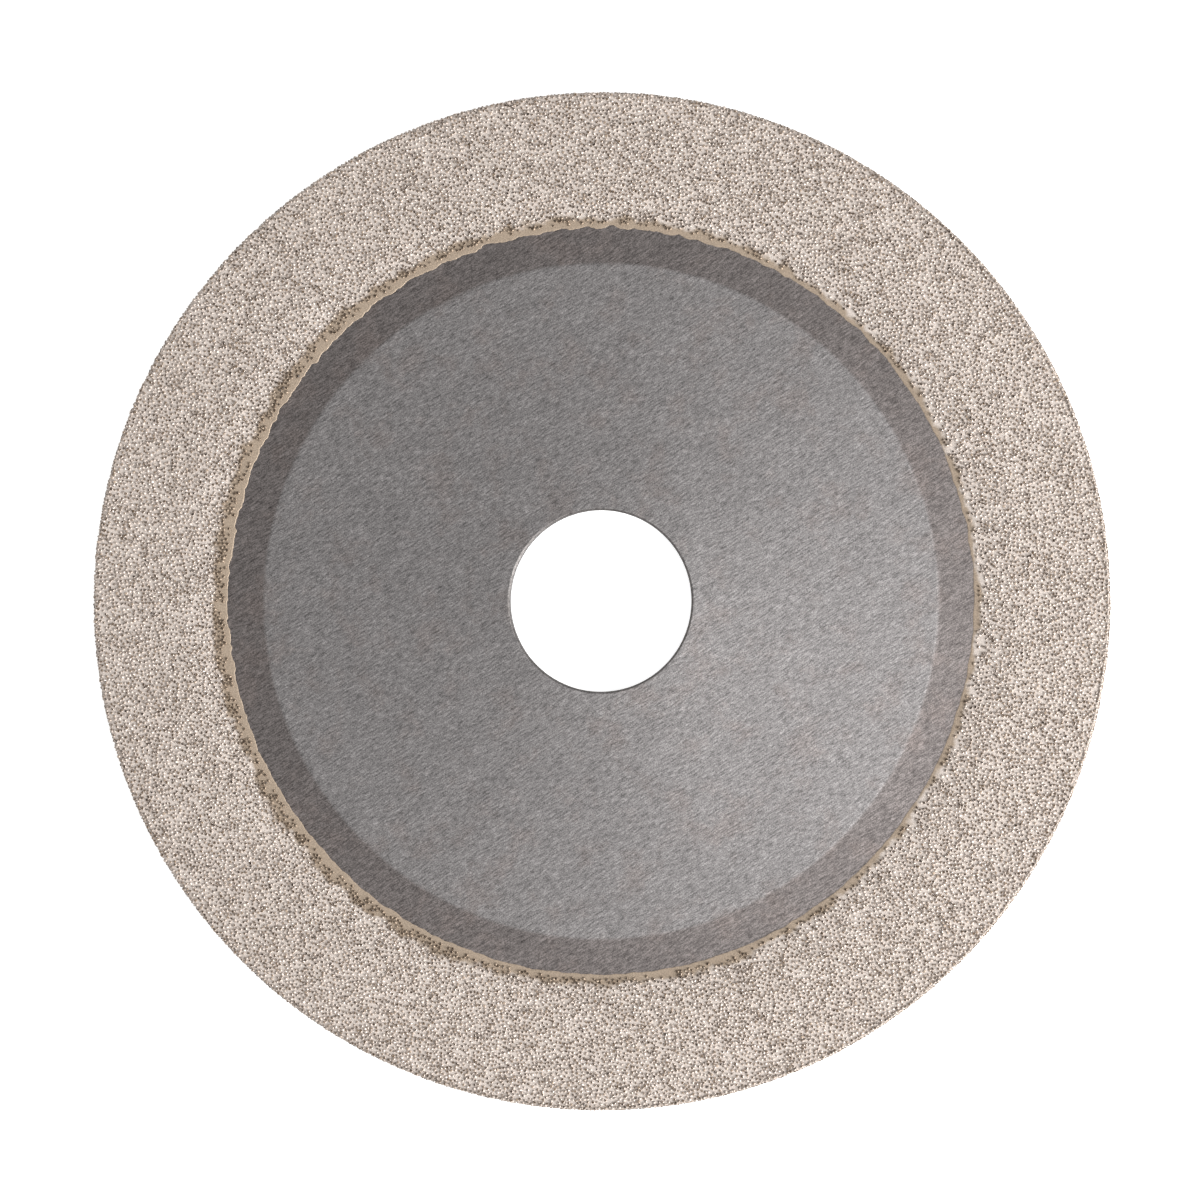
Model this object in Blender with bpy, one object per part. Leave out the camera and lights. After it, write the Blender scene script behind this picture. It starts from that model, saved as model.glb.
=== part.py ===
"""Flat vacuum-brazed diamond grinding wheel for a 125 mm angle grinder.

The wheel lies on its back face. Its axis is Z, and the origin is the centre of the bore,
half way through the thickness. The front face looks up, along +Z.
"""
import math

import bmesh
import bpy

# Driving dimensions, in metres
WHEEL_DIAMETER = 0.125          # over the grit on the rim
BORE_DIAMETER = 0.02223         # standard 7/8 in arbor
HUB_LAND_DIAMETER = 0.0824      # flat land that the machine's flanges clamp
HUB_THICKNESS = 0.0020
PLATE_THICKNESS = 0.00194       # outside the hub land, where the plate is relieved a little
SHOULDER_WIDTH = 0.0006         # slope from the hub land down to the plate
COATING_INNER_DIAMETER = 0.0915
BARE_BRAZE_WIDTH = 0.0007       # braze that shows inside the first grains
BRAZE_THICKNESS = 0.00025
BRAZE_FILLET_WIDTH = 0.00045    # rounded edge of the braze where it ran out
GRIT_THICKNESS = 0.00025        # how far the grains stand out of the braze
LAYER_GAP = 0.00005             # clearance between layers, a fifth of a layer
BORE_CHAMFER = 0.00025
PLATE_EDGE_CHAMFER = 0.0003
GRIT_EDGE_CHAMFER = 0.00015
SEGMENTS = 96                   # sides of every turned ring, with a corner on each axis
FILLET_STEPS = 4

# Sizes that follow from them
WHEEL_RADIUS = WHEEL_DIAMETER / 2
COATING_INNER_RADIUS = COATING_INNER_DIAMETER / 2
GRIT_INNER_RADIUS = COATING_INNER_RADIUS + BARE_BRAZE_WIDTH
BRAZE_OUTER_RADIUS = WHEEL_RADIUS - GRIT_THICKNESS - LAYER_GAP
PLATE_RADIUS = BRAZE_OUTER_RADIUS - BRAZE_THICKNESS - LAYER_GAP
BRAZE_FOOT = PLATE_THICKNESS / 2 + LAYER_GAP
BRAZE_TOP = BRAZE_FOOT + BRAZE_THICKNESS
GRIT_FOOT = BRAZE_TOP + LAYER_GAP
GRIT_TOP = GRIT_FOOT + GRIT_THICKNESS
WELD_DISTANCE = 1e-6            # joins the last turned step to the first

STEEL = {"color": (0.300, 0.283, 0.276), "roughness": 0.38, "metallic": 1.0}
BRAZE = {"color": (0.386, 0.309, 0.250), "roughness": 0.55, "metallic": 0.9}
GRIT = {"color": (0.520, 0.451, 0.397), "roughness": 0.50, "metallic": 0.4}


def remove_objects():
    for scene_object in list(bpy.data.objects):
        bpy.data.objects.remove(scene_object, do_unlink=True)


def principled(name, finish):
    """A Principled BSDF material with the given colour, roughness and metallic value."""
    material = bpy.data.materials.new(name)
    material.use_nodes = True
    shader = material.node_tree.nodes["Principled BSDF"]
    shader.inputs["Base Color"].default_value = (*finish["color"], 1.0)
    shader.inputs["Roughness"].default_value = finish["roughness"]
    shader.inputs["Metallic"].default_value = finish["metallic"]
    return material


def ring_mesh(name, outline, material):
    """Turns a closed outline of (radius, height) points once around Z into a solid ring."""
    bm = bmesh.new()
    corners = [bm.verts.new((radius, 0.0, height)) for radius, height in outline]
    edges = [bm.edges.new((a, b)) for a, b in zip(corners, corners[1:] + corners[:1])]
    bmesh.ops.spin(bm, geom=corners + edges, cent=(0, 0, 0), axis=(0, 0, 1),
                   angle=math.tau, steps=SEGMENTS)
    bmesh.ops.remove_doubles(bm, verts=bm.verts, dist=WELD_DISTANCE)
    bmesh.ops.recalc_face_normals(bm, faces=bm.faces)
    mesh = bpy.data.meshes.new(name)
    bm.to_mesh(mesh)
    bm.free()
    mesh.materials.append(material)
    mesh.shade_smooth()
    mesh.set_sharp_from_angle(angle=math.radians(20))
    return mesh


def add_part(name, mesh, axis, turned_over=False):
    """Places a mesh on the wheel's axis, turned over for a piece of the back face."""
    part = bpy.data.objects.new(name, mesh)
    bpy.context.scene.collection.objects.link(part)
    part.parent = axis
    if turned_over:
        part.rotation_euler = (math.pi, 0.0, 0.0)
    return part


def mirrored(upper_half):
    """Closes an outline by repeating its upper half below the middle plane."""
    return upper_half + [(radius, -height) for radius, height in reversed(upper_half)]


def steel_core_mesh(material):
    """Stamped and ground steel plate: bore, raised hub land and relieved outer plate."""
    bore = BORE_DIAMETER / 2
    land = HUB_LAND_DIAMETER / 2
    hub_top = HUB_THICKNESS / 2
    plate_top = PLATE_THICKNESS / 2
    upper_half = [
        (bore, hub_top - BORE_CHAMFER),
        (bore + BORE_CHAMFER, hub_top),
        (land, hub_top),
        (land + SHOULDER_WIDTH, plate_top),
        (PLATE_RADIUS - PLATE_EDGE_CHAMFER, plate_top),
        (PLATE_RADIUS, plate_top - PLATE_EDGE_CHAMFER),
    ]
    return ring_mesh("steel_core", mirrored(upper_half), material)


def face_braze_mesh(material):
    """Braze over one face, with a rounded inner edge where the molten metal stopped."""
    fillet = []
    for step in range(FILLET_STEPS + 1):
        turn = step / FILLET_STEPS * math.pi / 2
        radius = COATING_INNER_RADIUS + BRAZE_FILLET_WIDTH * (1 - math.cos(turn))
        fillet.append((radius, BRAZE_FOOT + BRAZE_THICKNESS * math.sin(turn)))
    outline = fillet + [(BRAZE_OUTER_RADIUS, BRAZE_TOP), (BRAZE_OUTER_RADIUS, BRAZE_FOOT)]
    return ring_mesh("face_braze", outline, material)


def face_grit_mesh(material):
    """Layer of grains over the braze of one face, out to the wheel's full diameter."""
    outline = [
        (GRIT_INNER_RADIUS, GRIT_FOOT),
        (GRIT_INNER_RADIUS + GRIT_EDGE_CHAMFER, GRIT_TOP),
        (WHEEL_RADIUS - GRIT_EDGE_CHAMFER, GRIT_TOP),
        (WHEEL_RADIUS, GRIT_TOP - GRIT_EDGE_CHAMFER),
        (WHEEL_RADIUS, GRIT_FOOT),
    ]
    return ring_mesh("face_grit", outline, material)


def rim_braze_mesh(material):
    """Braze round the plate's edge, between the two face layers of braze."""
    edge = PLATE_THICKNESS / 2
    upper_half = [(BRAZE_OUTER_RADIUS - BRAZE_THICKNESS, edge), (BRAZE_OUTER_RADIUS, edge)]
    return ring_mesh("rim_braze", mirrored(upper_half), material)


def rim_grit_mesh(material):
    """Grains round the wheel's edge, between the two face layers of grit."""
    upper_half = [(WHEEL_RADIUS - GRIT_THICKNESS, BRAZE_TOP), (WHEEL_RADIUS, BRAZE_TOP)]
    return ring_mesh("rim_grit", mirrored(upper_half), material)


def build_wheel():
    steel = principled("ground_steel", STEEL)
    braze = principled("nickel_braze", BRAZE)
    grit = principled("diamond_grit", GRIT)

    axis = bpy.data.objects.new("wheel_axis", None)
    bpy.context.scene.collection.objects.link(axis)

    add_part("steel_core", steel_core_mesh(steel), axis)
    add_part("rim_braze_layer", rim_braze_mesh(braze), axis)
    add_part("rim_diamond_grit", rim_grit_mesh(grit), axis)
    face_braze = face_braze_mesh(braze)
    face_grit = face_grit_mesh(grit)
    for face, turned_over in (("front", False), ("back", True)):
        add_part(face + "_braze_layer", face_braze, axis, turned_over)
        add_part(face + "_diamond_grit", face_grit, axis, turned_over)


remove_objects()
build_wheel()
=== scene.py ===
import math
import random

import bpy
import numpy as np
from mathutils import Euler, Matrix, Vector, noise


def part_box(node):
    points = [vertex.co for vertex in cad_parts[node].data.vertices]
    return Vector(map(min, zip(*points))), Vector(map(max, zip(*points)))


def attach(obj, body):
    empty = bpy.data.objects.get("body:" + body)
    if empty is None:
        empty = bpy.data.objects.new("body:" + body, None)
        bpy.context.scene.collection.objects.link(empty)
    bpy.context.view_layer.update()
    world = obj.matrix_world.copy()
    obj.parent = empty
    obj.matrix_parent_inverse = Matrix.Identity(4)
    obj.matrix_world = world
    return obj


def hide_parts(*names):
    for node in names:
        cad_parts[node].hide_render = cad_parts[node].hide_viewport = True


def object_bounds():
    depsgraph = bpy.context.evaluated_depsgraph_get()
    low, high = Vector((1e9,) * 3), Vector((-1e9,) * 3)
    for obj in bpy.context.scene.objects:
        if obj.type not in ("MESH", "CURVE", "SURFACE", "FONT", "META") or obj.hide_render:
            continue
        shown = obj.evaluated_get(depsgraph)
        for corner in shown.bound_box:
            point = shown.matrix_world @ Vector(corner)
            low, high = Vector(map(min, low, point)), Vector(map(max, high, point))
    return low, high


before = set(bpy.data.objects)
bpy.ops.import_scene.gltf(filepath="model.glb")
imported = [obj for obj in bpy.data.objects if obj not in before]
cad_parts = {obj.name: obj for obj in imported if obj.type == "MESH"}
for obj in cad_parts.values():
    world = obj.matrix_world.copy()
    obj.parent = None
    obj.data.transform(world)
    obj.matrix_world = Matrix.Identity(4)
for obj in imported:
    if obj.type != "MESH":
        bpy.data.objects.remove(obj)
cadBox = [list(corner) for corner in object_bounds()]
mm = 0.001
sameHeight = 0.001 * mm      # heights closer than this are taken as the same
mergeDistance = 0.0005 * mm
backTurn = 40                # degrees; the back face's pieces are turned, so it doesn't mirror the front
print("frame loaded")


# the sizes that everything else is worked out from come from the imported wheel

def radiiOf(node, height=None):
    # smallest and largest radius of a CAD node, over all of it or at one height
    found = [math.hypot(v.co.x, v.co.y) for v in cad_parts[node].data.vertices
             if height is None or abs(v.co.z - height) < sameHeight]
    return min(found), max(found)


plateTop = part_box("steel_core")[1].z
boreRadius, plateRadius = radiiOf("steel_core")
landRadius = radiiOf("steel_core", plateTop)[1]
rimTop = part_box("rim_braze_layer")[1].z      # the plate's height outside the hub land
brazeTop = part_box("front_braze_layer")[1].z
coatRadius, brazeRadius = radiiOf("front_braze_layer")
gritRadius, wheelRadius = radiiOf("front_diamond_grit")


def deselectAll():
    if bpy.context.mode != "OBJECT":
        bpy.ops.object.mode_set(mode="OBJECT")
    bpy.ops.object.select_all(action="DESELECT")


def pickOnly(piece):
    deselectAll()
    piece.select_set(True)
    bpy.context.view_layer.objects.active = piece


def turnRing(name, outline, segments, cuts=()):
    # a circle is pulled along a closed outline of (radius, height) points and joined end to end;
    # cuts says how many extra loops each stretch of the outline gets
    deselectAll()
    radius, height = outline[0]
    bpy.ops.mesh.primitive_circle_add(vertices=segments, radius=radius, location=(0, 0, height))
    ring = bpy.context.object
    ring.name = name
    bpy.ops.object.transform_apply(location=True)
    bpy.ops.object.mode_set(mode="EDIT")
    bpy.ops.mesh.select_all(action="SELECT")
    for step, (nextRadius, nextHeight) in enumerate(outline[1:] + outline[:1]):
        loops = (cuts[step] if step < len(cuts) else 0) + 1
        radiusStep = (nextRadius - radius) / loops
        heightStep = (nextHeight - height) / loops
        for loop in range(loops):
            grow = (radius + radiusStep) / radius
            bpy.ops.mesh.extrude_edges_move(TRANSFORM_OT_translate={"value": (0, 0, heightStep)})
            bpy.ops.transform.resize(value=(grow, grow, 1), center_override=(0, 0, 0))
            radius += radiusStep
            height += heightStep
    bpy.ops.mesh.select_all(action="SELECT")
    bpy.ops.mesh.remove_doubles(threshold=mergeDistance)
    bpy.ops.mesh.normals_make_consistent(inside=False)
    bpy.ops.object.mode_set(mode="OBJECT")
    return ring


def applyBevel(piece, width, segments, angle):
    pickOnly(piece)
    bevel = piece.modifiers.new("rounding", "BEVEL")
    bevel.width = width
    bevel.segments = segments
    bevel.limit_method = "ANGLE"
    bevel.angle_limit = math.radians(angle)
    bpy.ops.object.modifier_apply(modifier=bevel.name)


def smoothShade(piece, angle):
    pickOnly(piece)
    bpy.ops.object.shade_smooth_by_angle(angle=math.radians(angle))


def turnOver(piece, name):
    # a copy for the back face, with its own mesh, turned over about X and then round the axis
    pickOnly(piece)
    bpy.ops.object.duplicate(linked=False)
    copy = bpy.context.object
    copy.name = name
    copy.rotation_euler = (math.pi, 0, math.radians(backTurn))
    bpy.ops.object.transform_apply(location=False, rotation=True, scale=False)
    return copy


def vertexPlaces(piece):
    places = np.empty(len(piece.data.vertices) * 3, np.float32)
    piece.data.vertices.foreach_get("co", places)
    return places.reshape(-1, 3).astype(float)


def moveVertices(piece, places):
    piece.data.vertices.foreach_set("co", places.astype(np.float32).ravel())
    piece.data.update()


def smoothStep(low, high, value):
    share = np.clip((value - low) / (high - low), 0, 1)
    return share * share * (3 - 2 * share)


# small helpers for building materials

def addNode(tree, kind, inputs=None, **settings):
    node = tree.nodes.new(kind)
    for name, value in settings.items():
        setattr(node, name, value)
    for socket, value in (inputs or {}).items():
        if isinstance(value, bpy.types.NodeSocket):
            tree.links.new(value, node.inputs[socket])
        else:
            node.inputs[socket].default_value = value
    return node


def newMaterial(name, values):
    material = bpy.data.materials.new(name)
    material.use_nodes = True
    tree = material.node_tree
    shader = tree.nodes["Principled BSDF"]
    for socket, value in values.items():
        shader.inputs[socket].default_value = value
    return material, tree, shader


def mixColors(tree, factor, first, second, blend="MIX"):
    # a Mix node set to colours has its factor at 0, its two colours at 6 and 7, its result at 2
    mixed = addNode(tree, "ShaderNodeMix", data_type="RGBA", blend_type=blend)
    for socket, value in ((0, factor), (6, first), (7, second)):
        if isinstance(value, bpy.types.NodeSocket):
            tree.links.new(value, mixed.inputs[socket])
        else:
            mixed.inputs[socket].default_value = value
    return mixed.outputs[2]


def newGroup(name, inputs, outputs):
    group = bpy.data.node_groups.new(name, "ShaderNodeTree")
    for socket, kind, value in inputs:
        made = group.interface.new_socket(socket, in_out="INPUT", socket_type=kind)
        if value is not None:
            made.default_value = value
    for socket, kind in outputs:
        group.interface.new_socket(socket, in_out="OUTPUT", socket_type=kind)
    return group, addNode(group, "NodeGroupInput"), addNode(group, "NodeGroupOutput")


def makeMottle():
    # fine light and dark grain: noise spread over the range from Low to High
    group, given, result = newGroup(
        "mottle",
        [("Vector", "NodeSocketVector", None), ("Size", "NodeSocketFloat", 1.0),
         ("Low", "NodeSocketFloat", 0.8), ("High", "NodeSocketFloat", 1.2)],
        [("Tone", "NodeSocketFloat")])
    scale = addNode(group, "ShaderNodeMath", {0: 1.0, 1: given.outputs["Size"]}, operation="DIVIDE")
    grain = addNode(group, "ShaderNodeTexNoise",
                    {"Vector": given.outputs["Vector"], "Scale": scale.outputs[0],
                     "Detail": 3.0, "Roughness": 0.6})
    spread = addNode(group, "ShaderNodeMapRange",
                     {"Value": grain.outputs["Fac"], "From Min": 0.3, "From Max": 0.7,
                      "To Min": given.outputs["Low"], "To Max": given.outputs["High"]},
                     clamp=False)
    group.links.new(spread.outputs["Result"], result.inputs["Tone"])
    return group


def makeStain():
    # soft patches of a second colour
    group, given, result = newGroup(
        "stain",
        [("Vector", "NodeSocketVector", None), ("Color", "NodeSocketColor", None),
         ("Stain", "NodeSocketColor", None), ("Size", "NodeSocketFloat", 1.0),
         ("Amount", "NodeSocketFloat", 0.5)],
        [("Color", "NodeSocketColor")])
    scale = addNode(group, "ShaderNodeMath", {0: 1.0, 1: given.outputs["Size"]}, operation="DIVIDE")
    cloud = addNode(group, "ShaderNodeTexNoise",
                    {"Vector": given.outputs["Vector"], "Scale": scale.outputs[0],
                     "Detail": 4.0, "Roughness": 0.65})
    patch = addNode(group, "ShaderNodeMapRange",
                    {"Value": cloud.outputs["Fac"], "From Min": 0.48, "From Max": 0.68,
                     "To Min": 0.0, "To Max": given.outputs["Amount"]},
                    interpolation_type="SMOOTHSTEP")
    group.links.new(mixColors(group, patch.outputs["Result"], given.outputs["Color"],
                              given.outputs["Stain"]), result.inputs["Color"])
    return group


mottle = makeMottle()
stain = makeStain()


def addGroup(tree, group, inputs):
    return addNode(tree, "ShaderNodeGroup", inputs, node_tree=group)


def greyColor(tree, value):
    # one number as an even grey, to multiply a colour with
    return addNode(tree, "ShaderNodeCombineColor", {0: value, 1: value, 2: value}).outputs[0]


def tintedColor(color, tint):
    return [part * share for part, share in zip(color, tint)]


def axisDistance(tree, place):
    # how far a point is from the wheel's axis
    flat = addNode(tree, "ShaderNodeVectorMath", {0: place, 1: (1, 1, 0)}, operation="MULTIPLY")
    return addNode(tree, "ShaderNodeVectorMath", {0: flat.outputs[0]},
                   operation="LENGTH").outputs["Value"]


plate = {
    "segments": 360,
    "boreChamfer": 0.25 * mm,
    "shoulderWidth": 0.6 * mm,
    "edgeChamfer": 0.3 * mm,
    "rounding": 0.07 * mm,
    "roundingSteps": 3,
    "roundingAngle": 6,            # degrees between faces above which an edge is rounded
    "smoothAngle": 30,
}


steelLook = {
    "color": (0.222, 0.211, 0.209, 1),
    "ringShade": (0.70, 0.66, 0.645, 1),      # painted shade outside the hub land, where the relieved ring faces away from the light
    "boreTint": (0.50, 0.49, 0.48, 1),       # dull edge left in the bore by the punch
    "rust": (0.215, 0.175, 0.160, 1),        # faint warm patches
    "roughness": 0.58,
    "grindAngle": 32,                        # direction of the grinding marks across the plate
    "grindLength": 1.1 * mm,
    "grindWidth": 0.2 * mm,
    "grindTone": (0.57, 1.43),
    "streakLength": 4.5 * mm,                # broader and fainter streaks the same way
    "streakWidth": 1.4 * mm,
    "streakTone": (0.91, 1.09),
    "speckSize": 0.13 * mm,
    "speckTone": (0.5, 1.5),
    "rustSize": 4.5 * mm,
    "rustAmount": 0.28,
    "ringStart": -0.1 * mm,                  # the change to the ring's painted shade, out from the hub land
    "ringEnd": 0.5 * mm,
    "boreBlend": 0.03 * mm,
    "grindDepth": 0.002 * mm,
    "facingTilt": 0.115,                     # lean of the fine turning marks under the grinding
    "ringTilt": 0.04,                        # and how much more they lean outside the hub land
}


def steelMaterial():
    look = steelLook
    material, tree, shader = newMaterial("groundSteel", {
        "Metallic": 1.0, "Roughness": look["roughness"]})
    place = addNode(tree, "ShaderNodeTexCoord").outputs["Object"]
    layers = []
    for kind in ("grind", "streak"):
        length, width = look[kind + "Length"], look[kind + "Width"]
        along = addNode(tree, "ShaderNodeMapping", {
            "Vector": place, "Rotation": (0, 0, math.radians(look["grindAngle"])),
            "Scale": (length, width, width)}, vector_type="TEXTURE")
        low, high = look[kind + "Tone"]
        layers.append(addGroup(tree, mottle, {"Vector": along.outputs[0], "Size": 1.0,
                                              "Low": low, "High": high}).outputs[0])
    grind, streak = layers
    low, high = look["speckTone"]
    speck = addGroup(tree, mottle, {"Vector": place, "Size": look["speckSize"],
                                    "Low": low, "High": high})
    tone = addNode(tree, "ShaderNodeMath", {0: grind, 1: speck.outputs[0]}, operation="MULTIPLY")
    shade = addNode(tree, "ShaderNodeMath", {0: tone.outputs[0], 1: streak}, operation="MULTIPLY")
    radius = axisDistance(tree, place)
    # painted shade: the steel outside the hub land is darkened where the ring slopes away from the light
    ring = addNode(tree, "ShaderNodeMapRange", {
        "Value": radius, "From Min": landRadius + look["ringStart"],
        "From Max": landRadius + look["ringEnd"]}, interpolation_type="SMOOTHSTEP")
    tinted = mixColors(tree, ring.outputs["Result"], look["color"],
                       tintedColor(look["color"], look["ringShade"]))
    stained = addGroup(tree, stain, {"Vector": place, "Color": tinted, "Stain": look["rust"],
                                     "Size": look["rustSize"], "Amount": look["rustAmount"]})
    chamferEnd = boreRadius + plate["boreChamfer"]
    bore = addNode(tree, "ShaderNodeMapRange", {
        "Value": radius, "From Min": chamferEnd - look["boreBlend"],
        "From Max": chamferEnd + look["boreBlend"], "To Min": 1.0, "To Max": 0.0})
    dulled = mixColors(tree, bore.outputs["Result"], stained.outputs[0],
                       tintedColor(look["color"], look["boreTint"]))
    shaded = mixColors(tree, 1.0, dulled, greyColor(tree, shade.outputs[0]), "MULTIPLY")
    tree.links.new(shaded, shader.inputs["Base Color"])

    beyond = addNode(tree, "ShaderNodeMath", {0: radius, 1: landRadius}, operation="SUBTRACT")
    outside = addNode(tree, "ShaderNodeMath", {0: beyond.outputs[0], 1: 0.0}, operation="MAXIMUM")
    more = addNode(tree, "ShaderNodeMath", {0: outside.outputs[0], 1: -look["ringTilt"]},
                   operation="MULTIPLY")
    lean = addNode(tree, "ShaderNodeMath", {
        0: radius, 1: -look["facingTilt"], 2: more.outputs[0]}, operation="MULTIPLY_ADD")
    marks = addNode(tree, "ShaderNodeMath", {
        0: tone.outputs[0], 1: look["grindDepth"], 2: lean.outputs[0]}, operation="MULTIPLY_ADD")
    bump = addNode(tree, "ShaderNodeBump", {"Strength": 1.0, "Distance": 1.0,
                                            "Height": marks.outputs[0]})
    tree.links.new(bump.outputs[0], shader.inputs["Normal"])
    return material


brazeLook = {
    "color": (0.578, 0.518, 0.473, 1),       # between the grains
    "bare": (0.330, 0.264, 0.203, 1),        # where it ran out along the inner edge
    "bareStart": 0.3 * mm,                   # the change from bare to full colour, from the edge
    "bareEnd": 1.1 * mm,
    "bareDrift": 1.2 * mm,                   # how much its line wanders
    "driftSize": 2.5 * mm,
    "bareLean": 0.6 * mm,                    # and how much wider it is on the -X side
    "deep": (0.300, 0.240, 0.200, 1),        # faint darker patches
    "deepSize": 2 * mm,
    "deepAmount": 0.05,
    "edgeShade": (0.415, 0.363, 0.325, 1),        # painted shade round the rim, where the edge rolls away from the light
    "edgeShadeStart": 0.9 * mm,                   # the change to it, in from the outer edge
    "edgeShadeEnd": 0.3 * mm,
    "metallic": 0.85,
    "roughness": 0.60,
    "speckSize": 0.15 * mm,
    "speckTone": (0.75, 1.25),
    "bumpDepth": 0.02 * mm,
}


def brazeMaterial():
    look = brazeLook
    material, tree, shader = newMaterial("nickelBraze", {
        "Metallic": look["metallic"], "Roughness": look["roughness"]})
    place = addNode(tree, "ShaderNodeTexCoord").outputs["Object"]
    low, high = look["speckTone"]
    speck = addGroup(tree, mottle, {"Vector": place, "Size": look["speckSize"],
                                    "Low": low, "High": high})

    wander = look["bareDrift"] / 2
    drift = addGroup(tree, mottle, {"Vector": place, "Size": look["driftSize"],
                                    "Low": -wander, "High": wander})
    across = addNode(tree, "ShaderNodeSeparateXYZ", {0: place}).outputs["X"]
    side = addNode(tree, "ShaderNodeMapRange", {
        "Value": across, "From Min": -coatRadius, "From Max": coatRadius,
        "To Min": 2 * look["bareLean"], "To Max": 0.0})
    shift = addNode(tree, "ShaderNodeMath", {0: drift.outputs[0], 1: side.outputs["Result"]},
                    operation="ADD")
    radius = axisDistance(tree, place)
    reach = addNode(tree, "ShaderNodeMath", {0: radius, 1: shift.outputs[0]}, operation="SUBTRACT")
    full = addNode(tree, "ShaderNodeMapRange", {
        "Value": reach.outputs[0], "From Min": coatRadius + look["bareStart"],
        "From Max": coatRadius + look["bareEnd"]}, interpolation_type="SMOOTHSTEP")
    inner = mixColors(tree, full.outputs["Result"], look["bare"], look["color"])
    # painted shade: the braze darkens over the face's outer edge and the rim, where they turn away from
    # the light
    edge = addNode(tree, "ShaderNodeMapRange", {
        "Value": radius, "From Min": wheelRadius - look["edgeShadeStart"],
        "From Max": wheelRadius - look["edgeShadeEnd"]}, interpolation_type="SMOOTHSTEP")
    color = mixColors(tree, edge.outputs["Result"], inner, look["edgeShade"])
    stained = addGroup(tree, stain, {"Vector": place, "Color": color, "Stain": look["deep"],
                                     "Size": look["deepSize"], "Amount": look["deepAmount"]})
    shaded = mixColors(tree, 1.0, stained.outputs[0], greyColor(tree, speck.outputs[0]),
                       "MULTIPLY")
    tree.links.new(shaded, shader.inputs["Base Color"])
    lumps = addNode(tree, "ShaderNodeMath", {0: speck.outputs[0], 1: look["bumpDepth"]},
                    operation="MULTIPLY")
    bump = addNode(tree, "ShaderNodeBump", {"Strength": 1.0, "Distance": 1.0,
                                            "Height": lumps.outputs[0]})
    tree.links.new(bump.outputs[0], shader.inputs["Normal"])
    return material


crystalLook = {
    "dark": (0.022, 0.012, 0.006, 1),
    "middle": (0.095, 0.062, 0.036, 1),
    "light": (0.300, 0.230, 0.170, 1),
    "cloudSize": 0.2 * mm,
    "cloudTone": (0.8, 1.2),
    "roughness": 0.55,
    "ior": 1.4,
}


def crystalMaterial():
    look = crystalLook
    material, tree, shader = newMaterial("diamondGrain", {
        "Metallic": 0.0, "Roughness": look["roughness"], "IOR": look["ior"]})
    place = addNode(tree, "ShaderNodeTexCoord").outputs["Object"]
    tone = addNode(tree, "ShaderNodeAttribute", attribute_name="tone").outputs["Fac"]
    ramp = addNode(tree, "ShaderNodeValToRGB", {"Fac": tone})
    ramp.color_ramp.elements[0].color = look["dark"]
    ramp.color_ramp.elements[1].color = look["light"]
    ramp.color_ramp.elements.new(0.5).color = look["middle"]
    low, high = look["cloudTone"]
    cloud = addGroup(tree, mottle, {"Vector": place, "Size": look["cloudSize"],
                                    "Low": low, "High": high})
    shaded = mixColors(tree, 1.0, ramp.outputs[0], greyColor(tree, cloud.outputs[0]), "MULTIPLY")
    tree.links.new(shaded, shader.inputs["Base Color"])
    return material


stage = {
    "floorSize": 4.0,
    "floorGlow": 0.66,            # its own light, which leaves almost no shadow
    "paperSize": 2 * mm,
    "paperTone": (0.79, 0.81),
    "zenith": 0.40,               # the soft light is weaker straight above than round about
    "horizon": 1.15,
    "horizonEnd": 0.5,            # heights of the sky between which it fades
    "zenithStart": 0.95,
    "keyWatts": 195.0,
    "keySize": 3.0,
    "keyDistance": 4.0,
    "keyAzimuth": -25,            # degrees round the wheel from +X
    "keyElevation": 42,
    "sideWatts": 3.2,             # a nearer light, which fades across the wheel
    "sideSize": 0.25,
    "sideDistance": 0.5,
    "sideElevation": 20,
}


def floorMaterial():
    material, tree, shader = newMaterial("paleFloor", {
        "Roughness": 0.9, "Emission Color": (1, 1, 1, 1), "Emission Strength": stage["floorGlow"]})
    place = addNode(tree, "ShaderNodeTexCoord").outputs["Object"]
    low, high = stage["paperTone"]
    paper = addGroup(tree, mottle, {"Vector": place, "Size": stage["paperSize"],
                                    "Low": low, "High": high})
    tree.links.new(greyColor(tree, paper.outputs[0]), shader.inputs["Base Color"])
    return material


groundSteel = steelMaterial()
nickelBraze = brazeMaterial()
diamondGrain = crystalMaterial()
paleFloor = floorMaterial()
print("materials made")


def makePlate():
    upperHalf = [
        (boreRadius, plateTop - plate["boreChamfer"]),
        (boreRadius + plate["boreChamfer"], plateTop),
        (landRadius, plateTop),
        (landRadius + plate["shoulderWidth"], rimTop),
        (plateRadius - plate["edgeChamfer"], rimTop),
        (plateRadius, rimTop - plate["edgeChamfer"]),
    ]
    lowerHalf = [(radius, -height) for radius, height in reversed(upperHalf)]
    piece = turnRing("steelPlate", upperHalf + lowerHalf, plate["segments"])
    applyBevel(piece, plate["rounding"], plate["roundingSteps"], plate["roundingAngle"])
    smoothShade(piece, plate["smoothAngle"])
    for face in piece.data.polygons:
        if abs(face.normal.z) > 0.99999:
            face.use_smooth = False    # or the rounding beside them would bend their shading
    piece.data.materials.append(groundSteel)
    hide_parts("steel_core")
    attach(piece, "root")
    print("steel plate:", len(piece.data.polygons), "faces")


makePlate()


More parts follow.
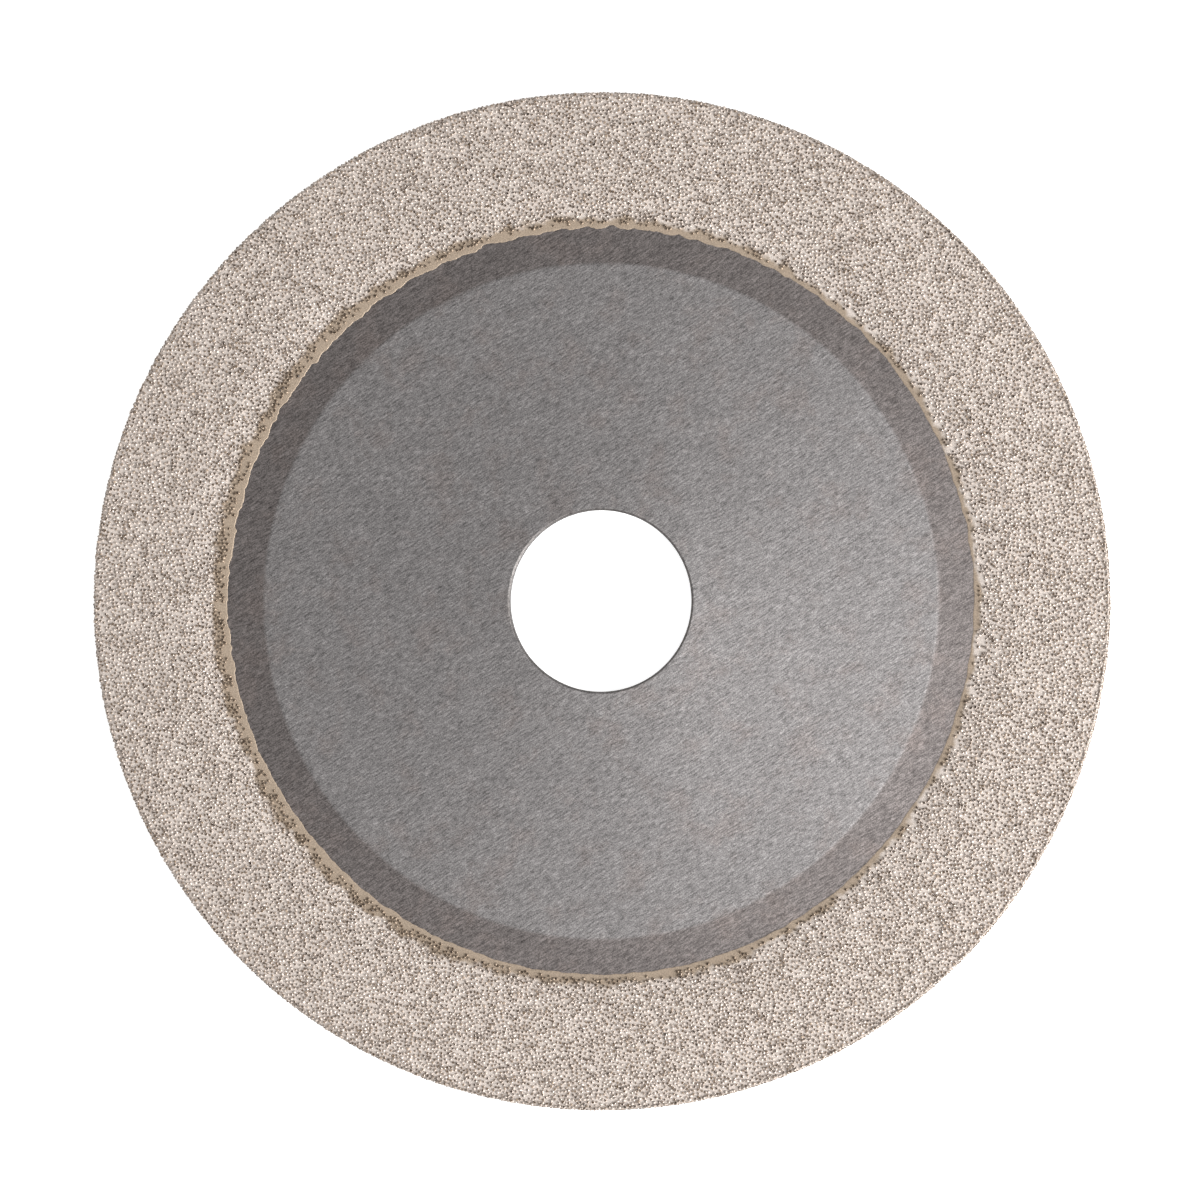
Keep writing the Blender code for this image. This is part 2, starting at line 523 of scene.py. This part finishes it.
braze = {
    "segments": 1440,
    "loops": 12,                   # extra loops over the flat of the coat
    "bedded": 0.02 * mm,           # how deep it bites into the plate
    "sunk": 0.07 * mm,             # its top between the grains, below the top of the CAD layer
    "edgeWidth": 0.14 * mm,        # rounded edge
    "edgeHeight": 0.04 * mm,
    "edgeSteps": 4,
    "edgeLoop": 0.03 * mm,         # close to the edge, so that its rounding ends there
    "rampWidth": 5.0 * mm,         # from the edge up to the full layer
    "rampLoops": 9,
    "scallop": 0.38 * mm,          # swing of the uneven line where it stopped
    "scallops": ((0.4, 0.45 * mm, 0), (1, 1.4 * mm, 2), (0.4, 4 * mm, 1)),
    "scallopRough": 0.66,          # share of the swing, on average round the wheel
    "scallopLean": 0.34,           # more on the -X +Y side, less across from it
    "scallopFade": (0.3 * mm, 1.5 * mm),
    "waviness": 0.02 * mm,
    "waves": ((1, 2.5 * mm, 0), (0.6, 0.5 * mm, 3)),
    "waveStart": 0.01 * mm,
    "rimSunk": 0.04 * mm,          # how far the rim sheet stays inside its CAD layer
    "rimShort": 0.1 * mm,          # and how far it stops short of the faces
    "rimCorner": 0.1 * mm,
    "rimLoops": 8,
    "rimLump": 0.05 * mm,
    "rimLumpSize": 0.4 * mm,
    "smoothAngle": 60,
}


def brazeHeight(radius):
    # top of the braze sheet past its rounded edge
    start = coatRadius + braze["edgeWidth"]
    climb = np.clip((radius - start) / braze["rampWidth"], 0, 1)
    low = rimTop + braze["edgeHeight"]
    return low + climb * (brazeTop - braze["sunk"] - low)


grains = {
    "perFace": 23000,
    "perRim": 4600,
    "spacing": 0.38 * mm,         # least distance between the middles of two grains
    "tries": 600000,
    "rimTries": 100000,
    "crystalSize": 0.21 * mm,
    "collarRadius": 0.27 * mm,    # braze that has climbed up round a crystal
    "sizeSpread": 0.2,
    "heightSpread": 0.015 * mm,
    "leanSpread": 0.15,
    "tone": 0.4,                  # 0 is the darkest crystal and 1 the lightest
    "toneSpread": 0.22,
    "innerTone": 0.15,            # what the innermost grains' tones are multiplied by
    "collarLift": 0.01 * mm,      # from the braze under it
    "crystalLift": 0.13 * mm,
    "sparseWidth": 2.4 * mm,      # band along the inner edge where grains thin out
    "sparseShare": 0.58,          # share of them that is left at its start
    "sparsePatches": 0.3,
    "patchSize": 1.3 * mm,
    "innerReach": 0.15 * mm,      # the first grains start this far in from the CAD layer's edge
    "outerMargin": 0.3 * mm,
    "rimMargin": 0.12 * mm,
    "splitShift": 0.7 * mm,       # of the line between inner and outer set, from half way
    "seed": 7,
}


crystalShape = {
    "kinds": 12,
    "stretch": (0.8, 1.2),
    "blockCut": -0.15,            # height at which a block is cut off underneath
    "pointWidth": 0.85,
    "pointHeight": 0.85,
    "pointRaise": 0.2,
    "pointLean": 0.5,
    "bluntWidth": 0.4,
}

collarShape = {
    "kinds": 6,
    "sides": 5,
    "topWidth": 0.45,
    "raise": 0.15,
    "stretch": (0.9, 1.1),
    "unevenness": 0.12,
}


def finishShape(piece):
    # corners and triangles of a small shape in edit mode, which is then removed
    bpy.ops.mesh.select_all(action="SELECT")
    bpy.ops.mesh.quads_convert_to_tris()
    bpy.ops.mesh.normals_make_consistent(inside=False)
    bpy.ops.object.mode_set(mode="OBJECT")
    corners = vertexPlaces(piece)
    faces = np.array([list(face.vertices) for face in piece.data.polygons])
    bpy.data.objects.remove(piece, do_unlink=True)
    return corners, faces


def blockCrystal(chance):
    # a cube lying at any angle, cut flat underneath, where the braze hides it
    bpy.ops.mesh.primitive_cube_add(size=1)
    crystal = bpy.context.object
    bpy.ops.object.mode_set(mode="EDIT")
    bpy.ops.mesh.select_all(action="SELECT")
    stretch = [chance.uniform(*crystalShape["stretch"]) for axis in range(3)]
    bpy.ops.transform.resize(value=stretch, center_override=(0, 0, 0))
    for axis in "XYZ":
        bpy.ops.transform.rotate(value=chance.uniform(0, math.pi), orient_axis=axis,
                                 center_override=(0, 0, 0))
    bpy.ops.mesh.select_all(action="SELECT")
    bpy.ops.mesh.bisect(plane_co=(0, 0, crystalShape["blockCut"]), plane_no=(0, 0, 1),
                        use_fill=True, clear_inner=True)
    return finishShape(crystal)


def pointedCrystal(chance, blunt):
    # the upper half of an octahedron, leaning, with its tip whole or worn off
    bpy.ops.mesh.primitive_cone_add(vertices=4, radius1=crystalShape["pointWidth"],
                                    radius2=blunt, depth=crystalShape["pointHeight"],
                                    location=(0, 0, crystalShape["pointRaise"]))
    crystal = bpy.context.object
    bpy.ops.object.transform_apply(location=True)
    bpy.ops.object.mode_set(mode="EDIT")
    bpy.ops.mesh.select_all(action="SELECT")
    stretch = [chance.uniform(*crystalShape["stretch"]) for axis in range(3)]
    bpy.ops.transform.resize(value=stretch, center_override=(0, 0, 0))
    lean = crystalShape["pointLean"]
    for axis in "XY":
        bpy.ops.transform.rotate(value=chance.uniform(-lean, lean), orient_axis=axis,
                                 center_override=(0, 0, 0))
    return finishShape(crystal)


def crystalShapes():
    chance = random.Random(grains["seed"])
    shapes = []
    for number in range(crystalShape["kinds"]):
        deselectAll()
        if number % 3 == 0:
            shapes.append(blockCrystal(chance))
        else:
            shapes.append(pointedCrystal(chance, 0 if number % 3 == 1 else crystalShape["bluntWidth"]))
    print("crystals:", [len(faces) for corners, faces in shapes], "triangles")
    return shapes


def collarShapes():
    # low mounds with sloping sides, none of them quite round
    chance = random.Random(grains["seed"] + 1)
    shapes = []
    low, high = collarShape["stretch"]
    for number in range(collarShape["kinds"]):
        deselectAll()
        bpy.ops.mesh.primitive_cone_add(vertices=collarShape["sides"], radius1=1,
                                        radius2=collarShape["topWidth"], depth=1,
                                        location=(0, 0, collarShape["raise"]))
        collar = bpy.context.object
        bpy.ops.object.transform_apply(location=True)
        bpy.ops.object.mode_set(mode="EDIT")
        bpy.ops.mesh.select_all(action="SELECT")
        bpy.ops.transform.resize(value=(chance.uniform(low, high), 1, chance.uniform(low, high)),
                                 center_override=(0, 0, 0))
        bpy.ops.transform.vertex_random(offset=collarShape["unevenness"], seed=number)
        shapes.append(finishShape(collar))
    print("collars:", [len(faces) for corners, faces in shapes], "triangles")
    return shapes


def keepApart(spots, spacing, most):
    # the spots, one after another, that lie no closer than the spacing to one already kept
    kept = []
    cells = {}
    for spot in spots:
        cell = (int(spot[0] // spacing), int(spot[1] // spacing))
        near = (other for i in (-1, 0, 1) for j in (-1, 0, 1)
                for other in cells.get((cell[0] + i, cell[1] + j), ()))
        if all((spot[0] - x) ** 2 + (spot[1] - y) ** 2 >= spacing ** 2 for x, y in near):
            cells.setdefault(cell, []).append(spot)
            kept.append(spot)
            if len(kept) == most:
                break
    return kept


def growMany(name, shapes, places, turns, sizes, tones, material, smooth):
    # one mesh of many small closed shapes: every place gets one of them, turned and scaled
    corners, faces, shades, count = [], [], [], 0
    for number, (shape, triangles) in enumerate(shapes):
        mine = np.arange(number, len(places), len(shapes))
        grown = np.einsum("nij,kj->nki", turns[mine], shape) * sizes[mine, None, None]
        corners.append((grown + places[mine, None, :]).reshape(-1, 3))
        starts = count + np.arange(len(mine)) * len(shape)
        faces.append((triangles[None] + starts[:, None, None]).reshape(-1, 3))
        shades.append(np.repeat(tones[mine], len(shape)))
        count += len(mine) * len(shape)
    corners = np.concatenate(corners)
    faces = np.concatenate(faces)
    mesh = bpy.data.meshes.new(name)
    mesh.vertices.add(len(corners))
    mesh.vertices.foreach_set("co", corners.astype(np.float32).ravel())
    mesh.loops.add(faces.size)
    mesh.loops.foreach_set("vertex_index", faces.astype(np.int32).ravel())
    mesh.polygons.add(len(faces))
    mesh.polygons.foreach_set("loop_start", np.arange(0, faces.size, 3, dtype=np.int32))
    mesh.update(calc_edges=True)
    if smooth:
        mesh.shade_smooth()
    else:
        mesh.shade_flat()
    mesh.attributes.new("tone", "FLOAT", "POINT").data.foreach_set(
        "value", np.concatenate(shades).astype(np.float32))
    mesh.materials.append(material)
    piece = bpy.data.objects.new(name, mesh)
    bpy.context.scene.collection.objects.link(piece)
    print(name + ":", len(places), "pieces,", len(faces), "triangles")
    return piece


def turnMatrices(chance, normals):
    # each shape's own up direction is the surface's, with a random turn round it and a small lean
    spread = grains["leanSpread"]
    matrices = []
    for normal in normals:
        lean = Euler((chance.gauss(0, spread), chance.gauss(0, spread),
                      chance.uniform(0, math.tau))).to_matrix()
        matrices.append(Vector(normal).to_track_quat("Z", "Y").to_matrix() @ lean)
    return np.array([[list(row) for row in matrix] for matrix in matrices])


def faceSpots():
    # places of the front face's grains: close together over the band, thinner at its inner edge
    chance = random.Random(grains["seed"] + 2)
    spots = []
    inner, outer = gritRadius - grains["innerReach"], wheelRadius - grains["outerMargin"]
    for number in range(grains["tries"]):
        radius = math.sqrt(chance.uniform(inner ** 2, outer ** 2))
        angle = chance.uniform(0, math.tau)
        spots.append((radius * math.cos(angle), radius * math.sin(angle)))
    kept = []
    for x, y in keepApart(spots, grains["spacing"], grains["perFace"]):
        inward = (math.hypot(x, y) - inner) / grains["sparseWidth"]
        patchy = noise.noise(Vector((x, y, 0)) / grains["patchSize"])
        share = grains["sparseShare"] + inward + grains["sparsePatches"] * patchy
        if share > chance.random():
            kept.append((x, y))
    return kept


def growSet(where, spots, chance, points, normals, nodes):
    # a crystal and its collar at every point, as two pieces
    turns = turnMatrices(chance, normals)
    growth = np.array([1 + grains["sizeSpread"] * chance.uniform(-1, 1) for spot in spots])
    tones = np.array([min(max(chance.gauss(grains["tone"], grains["toneSpread"]), 0), 1)
                      for spot in spots])
    radii = np.hypot(points[:, 0], points[:, 1])
    inward = smoothStep(gritRadius, gritRadius + grains["sparseWidth"], radii)
    tones *= grains["innerTone"] + (1 - grains["innerTone"]) * inward
    crystals = growMany(where + "Crystals", crystalKinds, points + normals * grains["crystalLift"],
                        turns, growth * grains["crystalSize"], tones, diamondGrain, False)
    collars = growMany(where + "Collars", collarKinds, points + normals * grains["collarLift"],
                       turns, growth * grains["collarRadius"], tones, nickelBraze, True)
    for piece, node, slot in ((crystals, nodes[0], "diamond_grit"), (collars, nodes[1], "braze")):
        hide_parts(node)
        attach(piece, "root")
    return crystals, collars


def makeFaceGrit():
    spots = faceSpots()
    chance = random.Random(grains["seed"] + 3)
    middle = (gritRadius + wheelRadius) / 2 + grains["splitShift"]
    for half, inside in (("Inner", True), ("Outer", False)):
        mine = [(x, y) for x, y in spots if (math.hypot(x, y) < middle) == inside]
        points = np.array([
            (x, y, brazeHeight(math.hypot(x, y)) + chance.gauss(0, grains["heightSpread"]))
            for x, y in mine])
        normals = np.tile((0.0, 0.0, 1.0), (len(mine), 1))
        made = growSet("front" + half, mine, chance, points, normals,
                       ("front_diamond_grit", "front_braze_layer"))
        for piece, node, slot in ((made[0], "back_diamond_grit", "diamond_grit"),
                                  (made[1], "back_braze_layer", "braze")):
            back = turnOver(piece, piece.name.replace("front", "back"))
            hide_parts(node)
            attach(back, "root")


def makeRimGrit():
    chance = random.Random(grains["seed"] + 4)
    half = brazeTop - grains["rimMargin"]
    around = math.tau * wheelRadius
    spots = keepApart([(chance.uniform(0, around), chance.uniform(-half, half))
                       for number in range(grains["rimTries"])], grains["spacing"],
                      grains["perRim"])
    angles = np.array([arc / wheelRadius for arc, height in spots])
    normals = np.stack([np.cos(angles), np.sin(angles), np.zeros(len(spots))], axis=1)
    points = normals * (brazeRadius - braze["sunk"])
    points[:, 2] = [height for arc, height in spots]
    growSet("rim", spots, chance, points, normals, ("rim_diamond_grit", "rim_braze_layer"))


crystalKinds = crystalShapes()
collarKinds = collarShapes()
makeFaceGrit()
makeRimGrit()


def layeredNoise(layers, x, y, reach=1):
    # noises of several sizes added up: each layer has its weight, its size and its level
    total = 0
    for weight, size, level in layers:
        total += weight * noise.noise(Vector((x, y, level)) * reach / size)
    return total


def makeFaceBraze():
    foot = rimTop - braze["bedded"]
    top = brazeTop - braze["sunk"]
    edge = []
    for step in range(braze["edgeSteps"] + 1):
        turn = step / braze["edgeSteps"] * math.pi / 2
        edge.append((coatRadius + braze["edgeWidth"] * (1 - math.cos(turn)),
                     foot + braze["bedded"] + braze["edgeHeight"] * math.sin(turn)))
    close = coatRadius + braze["edgeWidth"] + braze["edgeLoop"]
    outline = [(coatRadius, foot)] + edge + [
        (close, float(brazeHeight(close))),
        (coatRadius + braze["edgeWidth"] + braze["rampWidth"], top),
        (brazeRadius, top), (brazeRadius, foot)]
    cuts = (0,) * (braze["edgeSteps"] + 2) + (braze["rampLoops"], braze["loops"])
    piece = turnRing("frontBraze", outline, braze["segments"], cuts)
    places = vertexPlaces(piece)
    radii = np.hypot(places[:, 0], places[:, 1])
    for number in np.nonzero(places[:, 2] > rimTop + braze["waveStart"])[0]:
        x, y, z = places[number]
        swell = layeredNoise(braze["waves"], x, y)
        places[number, 2] += braze["waviness"] * swell * (z - rimTop) / (top - rimTop)
    # the molten metal stopped along an uneven line, rougher on one half of the wheel
    near, far = braze["scallopFade"]
    fade = 1 - smoothStep(coatRadius + near, coatRadius + far, radii)
    for number in np.nonzero(fade)[0]:
        x, y, z = places[number] / radii[number]
        # (y - x) / 1.4 runs from -1 to 1 round the wheel
        rough = braze["scallopRough"] + braze["scallopLean"] * (y - x) / 1.4
        line = layeredNoise(braze["scallops"], x, y, coatRadius)
        shift = 1 + braze["scallop"] * rough * line * fade[number] / radii[number]
        places[number, :2] *= shift
    moveVertices(piece, places)
    smoothShade(piece, braze["smoothAngle"])
    piece.data.materials.append(nickelBraze)
    back = turnOver(piece, "backBraze")
    for half, node in ((piece, "front_braze_layer"), (back, "back_braze_layer")):
        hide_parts(node)
        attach(half, "root")
    print("face braze:", len(piece.data.polygons), "faces")


def makeRimBraze():
    inner = plateRadius - braze["bedded"]
    outer = brazeRadius - braze["rimSunk"]
    top = brazeTop - braze["rimShort"]
    corner = braze["rimCorner"]
    outline = [(inner, -top), (outer - corner, -top), (outer, -top + corner),
               (outer, top - corner), (outer - corner, top), (inner, top)]
    piece = turnRing("rimBraze", outline, braze["segments"], (0, 0, braze["rimLoops"]))
    places = vertexPlaces(piece)
    for number, (x, y, z) in enumerate(places):
        radius = math.hypot(x, y)
        if radius > inner + braze["rimLump"]:      # its inner wall, in the plate, stays round
            lump = noise.noise(Vector((x, y, z)) / braze["rimLumpSize"])
            places[number, :2] *= 1 + braze["rimLump"] * lump / radius
    moveVertices(piece, places)
    smoothShade(piece, braze["smoothAngle"])
    piece.data.materials.append(nickelBraze)
    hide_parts("rim_braze_layer")
    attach(piece, "root")
    print("rim braze:", len(piece.data.polygons), "faces")


makeFaceBraze()
makeRimBraze()


camera = {
    "distance": 1.8,
    "tilt": 4.0,                  # degrees off the wheel's axis
    "tiltAzimuth": -20,
    "sensor": 36.0,
    "wheelShare": 0.8501,         # the part of the frame's width that the wheel takes
    "aim": (-0.14 * mm, 0.13 * mm, 0),
}


def onSphere(distance, azimuth, elevation):
    azimuth, elevation = math.radians(azimuth), math.radians(elevation)
    return Vector((math.cos(azimuth) * math.cos(elevation), math.sin(azimuth) * math.cos(elevation),
                   math.sin(elevation))) * distance


def makeStage():
    deselectAll()
    bpy.ops.mesh.primitive_plane_add(size=stage["floorSize"], location=(0, 0, cadBox[0][2]))
    floor = bpy.context.object
    floor.name = "floor"
    bpy.ops.object.transform_apply(location=True)
    floor.data.materials.append(paleFloor)
    world = bpy.data.worlds.new("softStudio")
    world.use_nodes = True
    tree = world.node_tree
    direction = addNode(tree, "ShaderNodeTexCoord").outputs["Generated"]
    height = addNode(tree, "ShaderNodeSeparateXYZ", {0: direction}).outputs["Z"]
    strength = addNode(tree, "ShaderNodeMapRange", {
        "Value": height, "From Min": stage["horizonEnd"], "From Max": stage["zenithStart"],
        "To Min": stage["horizon"], "To Max": stage["zenith"]}, interpolation_type="SMOOTHSTEP")
    background = tree.nodes["Background"]
    background.inputs["Color"].default_value = (1, 1, 1, 1)
    tree.links.new(strength.outputs["Result"], background.inputs["Strength"])
    bpy.context.scene.world = world
    for light in ("key", "side"):
        place = onSphere(stage[light + "Distance"], stage["keyAzimuth"], stage[light + "Elevation"])
        bpy.ops.object.light_add(type="AREA", location=place)
        lamp = bpy.context.object
        lamp.name = light + "Light"
        lamp.rotation_euler = (-place).to_track_quat("-Z", "Y").to_euler()
        lamp.data.shape = "DISK"
        lamp.data.size = stage[light + "Size"]
        lamp.data.energy = stage[light + "Watts"]
        lamp.visible_camera = False


def makeCamera():
    away = onSphere(camera["distance"], camera["tiltAzimuth"], 90 - camera["tilt"])
    aim = Vector(camera["aim"])
    halfWidth = wheelRadius / camera["wheelShare"]
    data = bpy.data.cameras.new("camera")
    data.sensor_width = camera["sensor"]
    data.lens = camera["sensor"] / 2 * camera["distance"] / halfWidth
    data.clip_start = 0.01
    data.clip_end = 20
    view = bpy.data.objects.new("camera", data)
    # +Y of the wheel stands upright in the frame
    back = away.normalized()
    right = Vector((0, 1, 0)).cross(back).normalized()
    upward = back.cross(right)
    view.rotation_euler = Matrix((right, upward, back)).transposed().to_euler()
    view.location = aim + away
    bpy.context.scene.collection.objects.link(view)
    bpy.context.scene.camera = view


makeStage()
makeCamera()
bpy.context.scene.view_settings.view_transform = "Standard"
print("stage and camera ready")
